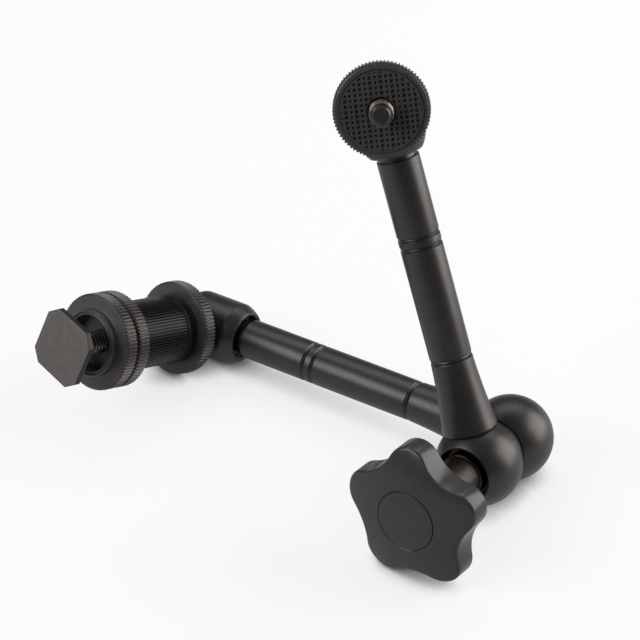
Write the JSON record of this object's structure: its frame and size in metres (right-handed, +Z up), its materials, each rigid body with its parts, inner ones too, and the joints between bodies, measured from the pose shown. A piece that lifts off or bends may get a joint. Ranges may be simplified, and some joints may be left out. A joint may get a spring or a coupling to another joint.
{
  "type": "articulating friction arm",
  "caption": "Black metal articulating arm: two ball-hubbed tubes clamped by a star knob, a padded quarter-inch stud on one end and a flash-shoe adapter on the other.",
  "frame": {"origin": "centre of the bounding box, on the table the arm rests on", "axes": "+Z up; the pictured camera looks along +Y; the shoe adapter lies towards -X"},
  "size_m": [0.145, 0.1196, 0.1257],
  "materials": {
    "black_anodised": "satin anodised, black",
    "moulded_knob": "semi-gloss moulded, near black",
    "black_steel": "blackened, thread crests worn bright",
    "bright_steel": "turned and ground",
    "rubber": "black, moulded with small points",
    "shoe_plate": "black oxide, fine ground",
    "acetal": "moulded, natural white",
    "bronze": "turned"
  },
  "bodies": {
    "rear_hub": {"rear_hub": "black_anodised", "friction_washer": "acetal", "collar_b": "black_anodised", "tube_b": "black_anodised", "swivel_ring_b": "black_anodised"},
    "front_hub": {"front_hub": "black_anodised", "collar_a": "black_anodised", "tube_a": "black_anodised", "swivel_ring_a": "black_anodised"},
    "front_cone": {"front_cone": "bright_steel", "thrust_washer": "bronze"},
    "knob": {"clamp_screw": "black_steel", "knob_body": "moulded_knob", "knob_cap": "moulded_knob"},
    "rear_cone": {"rear_cone": "bright_steel", "cone_springs": "bright_steel"},
    "push_rod_a": {"push_rod_a": "bright_steel", "ball_pad_a": "acetal"},
    "push_rod_b": {"push_rod_b": "bright_steel", "ball_pad_b": "acetal"},
    "cup_a": {"ball_cup_a": "black_anodised", "cup_nose_a": "black_anodised"},
    "cup_b": {"ball_cup_b": "black_anodised", "cup_nose_b": "black_anodised"},
    "ball_a": {"ball_a": "bright_steel"},
    "ball_b": {"ball_b": "bright_steel"},
    "stud_a": {"stud_a": "black_steel"},
    "stud_b": {"stud_b": "black_steel"},
    "lock_disc_a": {"lock_disc_a": "black_anodised", "rubber_pad_a": "rubber"},
    "lock_disc_b": {"lock_disc_b": "black_anodised", "rubber_pad_b": "rubber"},
    "shoe_barrel": {"shoe_barrel": "black_anodised", "shoe_foot": "shoe_plate"},
    "shoe_wheel_2": {"shoe_wheel_2": "black_anodised"},
    "shoe_wheel_1": {"shoe_wheel_1": "black_anodised"}
  },
  "joints": [
    {"name": "elbow", "type": "hinge", "parent": "rear_hub", "child": "front_hub", "pos_m": [0.05577, -0.01426, 0.01356], "axis": [-0.558, -0.8184, 0.1374], "range_deg": [-265, 40]},
    {"name": "front_cone_slide", "type": "slide", "parent": "front_hub", "child": "front_cone", "axis": [-0.558, -0.8184, 0.1374], "range_m": [0, 0.000645]},
    {"name": "knob_turn", "type": "hinge", "parent": "front_cone", "child": "knob", "pos_m": [0.05109, -0.02113, 0.01471], "axis": [-0.558, -0.8184, 0.1374], "range_deg": [0, 360]},
    {"name": "rear_cone_slide", "type": "slide", "parent": "rear_hub", "child": "rear_cone", "axis": [0.558, 0.8184, -0.1374], "range_m": [0, 0.000645]},
    {"name": "rod_a_slide", "type": "slide", "parent": "front_hub", "child": "push_rod_a", "axis": [0.2598, -0.3296, -0.9077], "range_m": [0, 0.000645]},
    {"name": "rod_b_slide", "type": "slide", "parent": "rear_hub", "child": "push_rod_b", "axis": [0.8282, -0.5597, 0.0302], "range_m": [0, 0.000645]},
    {"name": "cup_a_swivel", "type": "hinge", "parent": "front_hub", "child": "cup_a", "pos_m": [0.02407, 0.01315, 0.10911], "axis": [-0.2598, 0.3296, 0.9077], "continuous": true},
    {"name": "ball_a_tilt", "type": "hinge", "parent": "cup_a", "child": "ball_a", "pos_m": [0.02407, 0.01315, 0.10911], "axis": [0.965, 0.0542, 0.2566], "range_deg": [-90, 0]},
    {"name": "stud_a_turn", "type": "hinge", "parent": "ball_a", "child": "stud_a", "pos_m": [0.02407, 0.01315, 0.10911], "axis": [-0.0354, -0.9426, 0.3321], "continuous": true},
    {"name": "lock_disc_a_turn", "type": "hinge", "parent": "stud_a", "child": "lock_disc_a", "pos_m": [0.02407, 0.01315, 0.10911], "axis": [-0.0354, -0.9426, 0.3321], "continuous": true},
    {"name": "cup_b_swivel", "type": "hinge", "parent": "rear_hub", "child": "cup_b", "pos_m": [-0.02567, 0.05082, 0.00926], "axis": [-0.8282, 0.5597, -0.0302], "continuous": true},
    {"name": "ball_b_tilt", "type": "hinge", "parent": "cup_b", "child": "ball_b", "pos_m": [-0.02567, 0.05082, 0.00926], "axis": [0.1731, 0.3068, 0.9359], "range_deg": [-81.2, 8.8]},
    {"name": "stud_b_turn", "type": "hinge", "parent": "ball_b", "child": "stud_b", "pos_m": [-0.02567, 0.05082, 0.00926], "axis": [-0.6535, -0.6752, 0.3422], "continuous": true},
    {"name": "lock_disc_b_turn", "type": "hinge", "parent": "stud_b", "child": "lock_disc_b", "pos_m": [-0.02567, 0.05082, 0.00926], "axis": [-0.6535, -0.6752, 0.3422], "continuous": true},
    {"name": "shoe_barrel_turn", "type": "hinge", "parent": "stud_b", "child": "shoe_barrel", "pos_m": [-0.02567, 0.05082, 0.00926], "axis": [-0.6535, -0.6752, 0.3422], "continuous": true},
    {"name": "shoe_wheel_2_turn", "type": "hinge", "parent": "shoe_barrel", "child": "shoe_wheel_2", "pos_m": [-0.02567, 0.05082, 0.00926], "axis": [-0.6535, -0.6752, 0.3422], "continuous": true},
    {"name": "shoe_wheel_1_turn", "type": "hinge", "parent": "shoe_barrel", "child": "shoe_wheel_1", "pos_m": [-0.02567, 0.05082, 0.00926], "axis": [-0.6535, -0.6752, 0.3422], "continuous": true}
  ],
  "couplings": [
    {"joint": "front_cone_slide", "follows": "knob_turn", "m_per_rad": 0.000099472},
    {"joint": "rear_cone_slide", "follows": "knob_turn", "m_per_rad": 0.000099472},
    {"joint": "rod_a_slide", "follows": "knob_turn", "m_per_rad": 0.000099472},
    {"joint": "rod_b_slide", "follows": "knob_turn", "m_per_rad": 0.000099472}
  ]
}
